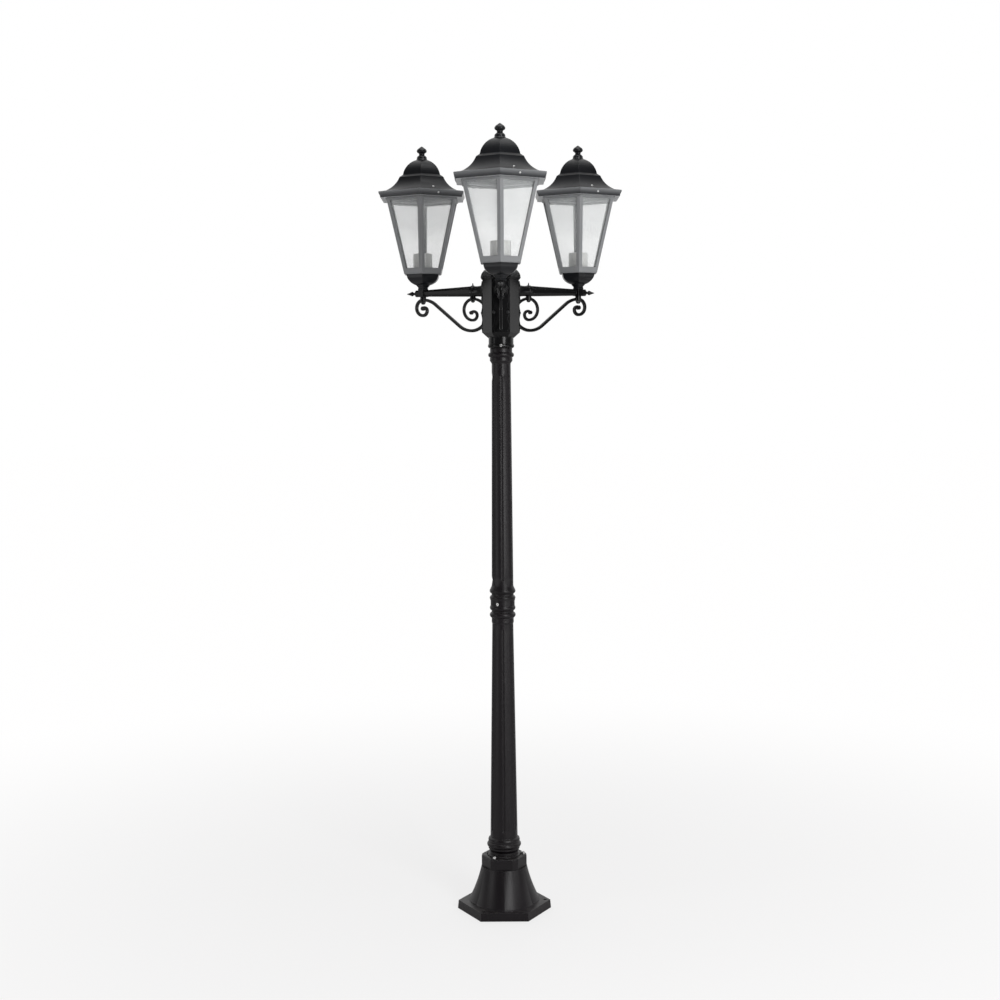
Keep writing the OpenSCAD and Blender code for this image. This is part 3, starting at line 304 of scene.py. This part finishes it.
# Lampholders and the terminal block: glazed porcelain, off-white, with a few fine
# pores under the glaze.
GLAZE = (0.66, 0.66, 0.64)
GLAZE_SHADE = (0.50, 0.50, 0.48)
porcelain = Finish("porcelain")
pores = porcelain.ramp(porcelain.noise(520, 2), [(0.66, 0.0), (0.78, 1.0)])
porcelain.shade({
    "Base Color": porcelain.blend(pores * 0.35 + 0.2 * porcelain.noise(30), GLAZE, GLAZE_SHADE),
    "Roughness": 0.16 + 0.2 * pores,
    "Coat Weight": 0.6,
    "Normal": porcelain.add(
        "ShaderNodeBump", {}, {"Strength": 0.1, "Distance": 0.0003, "Height": porcelain.noise(60, 2)},
    ),
})
dress(porcelain.material, "terminal_block")
for side in SIDES:
    dress(porcelain.material, side + "_lampholder")

# Stems and catches: zinc plated threaded tube and bright spring strip. The catch
# screws are bright like the collar's.
zinc = turned_steel("zinc_tube", (0.62, 0.62, 0.58), 0.38)
spring_strip = turned_steel("spring_steel", (0.66, 0.66, 0.67), 0.26)
for side in SIDES:
    dress(zinc, side + "_stem")
    dress(spring_strip, side + "_catch")
    dress(screw_steel, side + "_catch_screws")

# Floor: a pale paper sweep. Near the post it takes the post's shadow, further off
# it is lit to plain white, so no horizon shows.
FLOOR_HALF = 30
PAPER = (0.60, 0.595, 0.595, 1)
PAPER_LIGHT = (1, 0.997, 0.997, 1)
NEAR_POST = 0.3
FAR_FROM_POST = 3.2
floor_mesh = bpy.data.meshes.new("floor")
sweep = bmesh.new()
bmesh.ops.create_grid(sweep, x_segments=1, y_segments=1, size=FLOOR_HALF)
sweep.to_mesh(floor_mesh)
sweep.free()
floor = bpy.data.objects.new("floor", floor_mesh)
scene.collection.objects.link(floor)
paper = Finish("pale_floor")
paper.shade({"Base Color": PAPER, "Roughness": 0.7})
lit = paper.add("ShaderNodeEmission", {}, {"Color": PAPER_LIGHT, "Strength": 1.0})
reach = paper.add("ShaderNodeVectorMath", {"operation": "LENGTH"}, {0: paper.place}, 1)
far = paper.fade(reach, NEAR_POST, FAR_FROM_POST, 0.72, 1.0, "SMOOTHSTEP")
seen = paper.add("ShaderNodeLightPath", {}, {}, "Is Camera Ray")
plain = Socket(paper, paper.shader.outputs[0])
sheet = paper.add("ShaderNodeMixShader", {}, {0: far * seen, 1: plain, 2: lit})
paper.tree.links.new(sheet.link, paper.tree.nodes["Material Output"].inputs["Surface"])
floor_mesh.materials.append(paper.material)

# Studio light: a white backdrop behind the post, a dimmer room in front of it, and
# soft boxes above and on both sides whose edges show as streaks down the post.
BACKDROP_LEVEL = 1.0
ROOM_LEVEL = 0.12
world = bpy.data.worlds.new("studio")
world.use_nodes = True
scene.world = world
room = world.node_tree


def room_node(kind, settings, sockets):
    node = room.nodes.new(kind)
    for name, value in settings.items():
        setattr(node, name, value)
    for name, value in sockets.items():
        if isinstance(value, bpy.types.NodeSocket):
            room.links.new(value, node.inputs[name])
        else:
            node.inputs[name].default_value = value
    return node


path = room_node("ShaderNodeLightPath", {}, {}).outputs
through = room_node(
    "ShaderNodeMath", {"operation": "MAXIMUM"},
    {0: path["Is Camera Ray"], 1: path["Is Transmission Ray"]},
)
aim = room_node("ShaderNodeTexCoord", {}, {}).outputs["Generated"]
depth = room_node("ShaderNodeSeparateXYZ", {}, {"Vector": aim}).outputs["Y"]
backdrop = room_node(
    "ShaderNodeMapRange", {"interpolation_type": "SMOOTHSTEP"},
    {"Value": depth, "From Min": -0.15, "From Max": 0.45,
     "To Min": ROOM_LEVEL, "To Max": BACKDROP_LEVEL},
)
strength = room_node(
    "ShaderNodeMath", {"operation": "MAXIMUM"}, {0: through.outputs[0], 1: backdrop.outputs[0]}
)
sky = room.nodes["Background"]
sky.inputs["Color"].default_value = (1, 1, 1, 1)
room.links.new(strength.outputs[0], sky.inputs["Strength"])


def soft_box(name, place, target, width, height, watts):
    lamp = bpy.data.lights.new(name, "AREA")
    lamp.shape = "RECTANGLE"
    lamp.size = width
    lamp.size_y = height
    lamp.energy = watts
    holder = bpy.data.objects.new(name, lamp)
    turn = (Vector(target) - Vector(place)).to_track_quat("-Z", "Y")
    holder.matrix_world = Matrix.Translation(place) @ turn.to_matrix().to_4x4()
    scene.collection.objects.link(holder)


soft_box("right_box", (1.7, -3.1, 2.1), (0, 0, 1.2), 1.2, 2.8, 104)
soft_box("left_box", (-3.6, -1.5, 2.2), (0, 0, 1.3), 0.9, 2.6, 10)
soft_box("top_box", (0.2, -0.6, 4.6), (0, 0, 1.8), 2.4, 1.6, 45)
soft_box("low_right_box", (3.4, -1.9, 0.7), (0, 0, 1.7), 1.6, 1.4, 14)
soft_box("low_left_box", (-3.4, -1.9, 0.7), (0, 0, 1.7), 1.6, 1.4, 14)
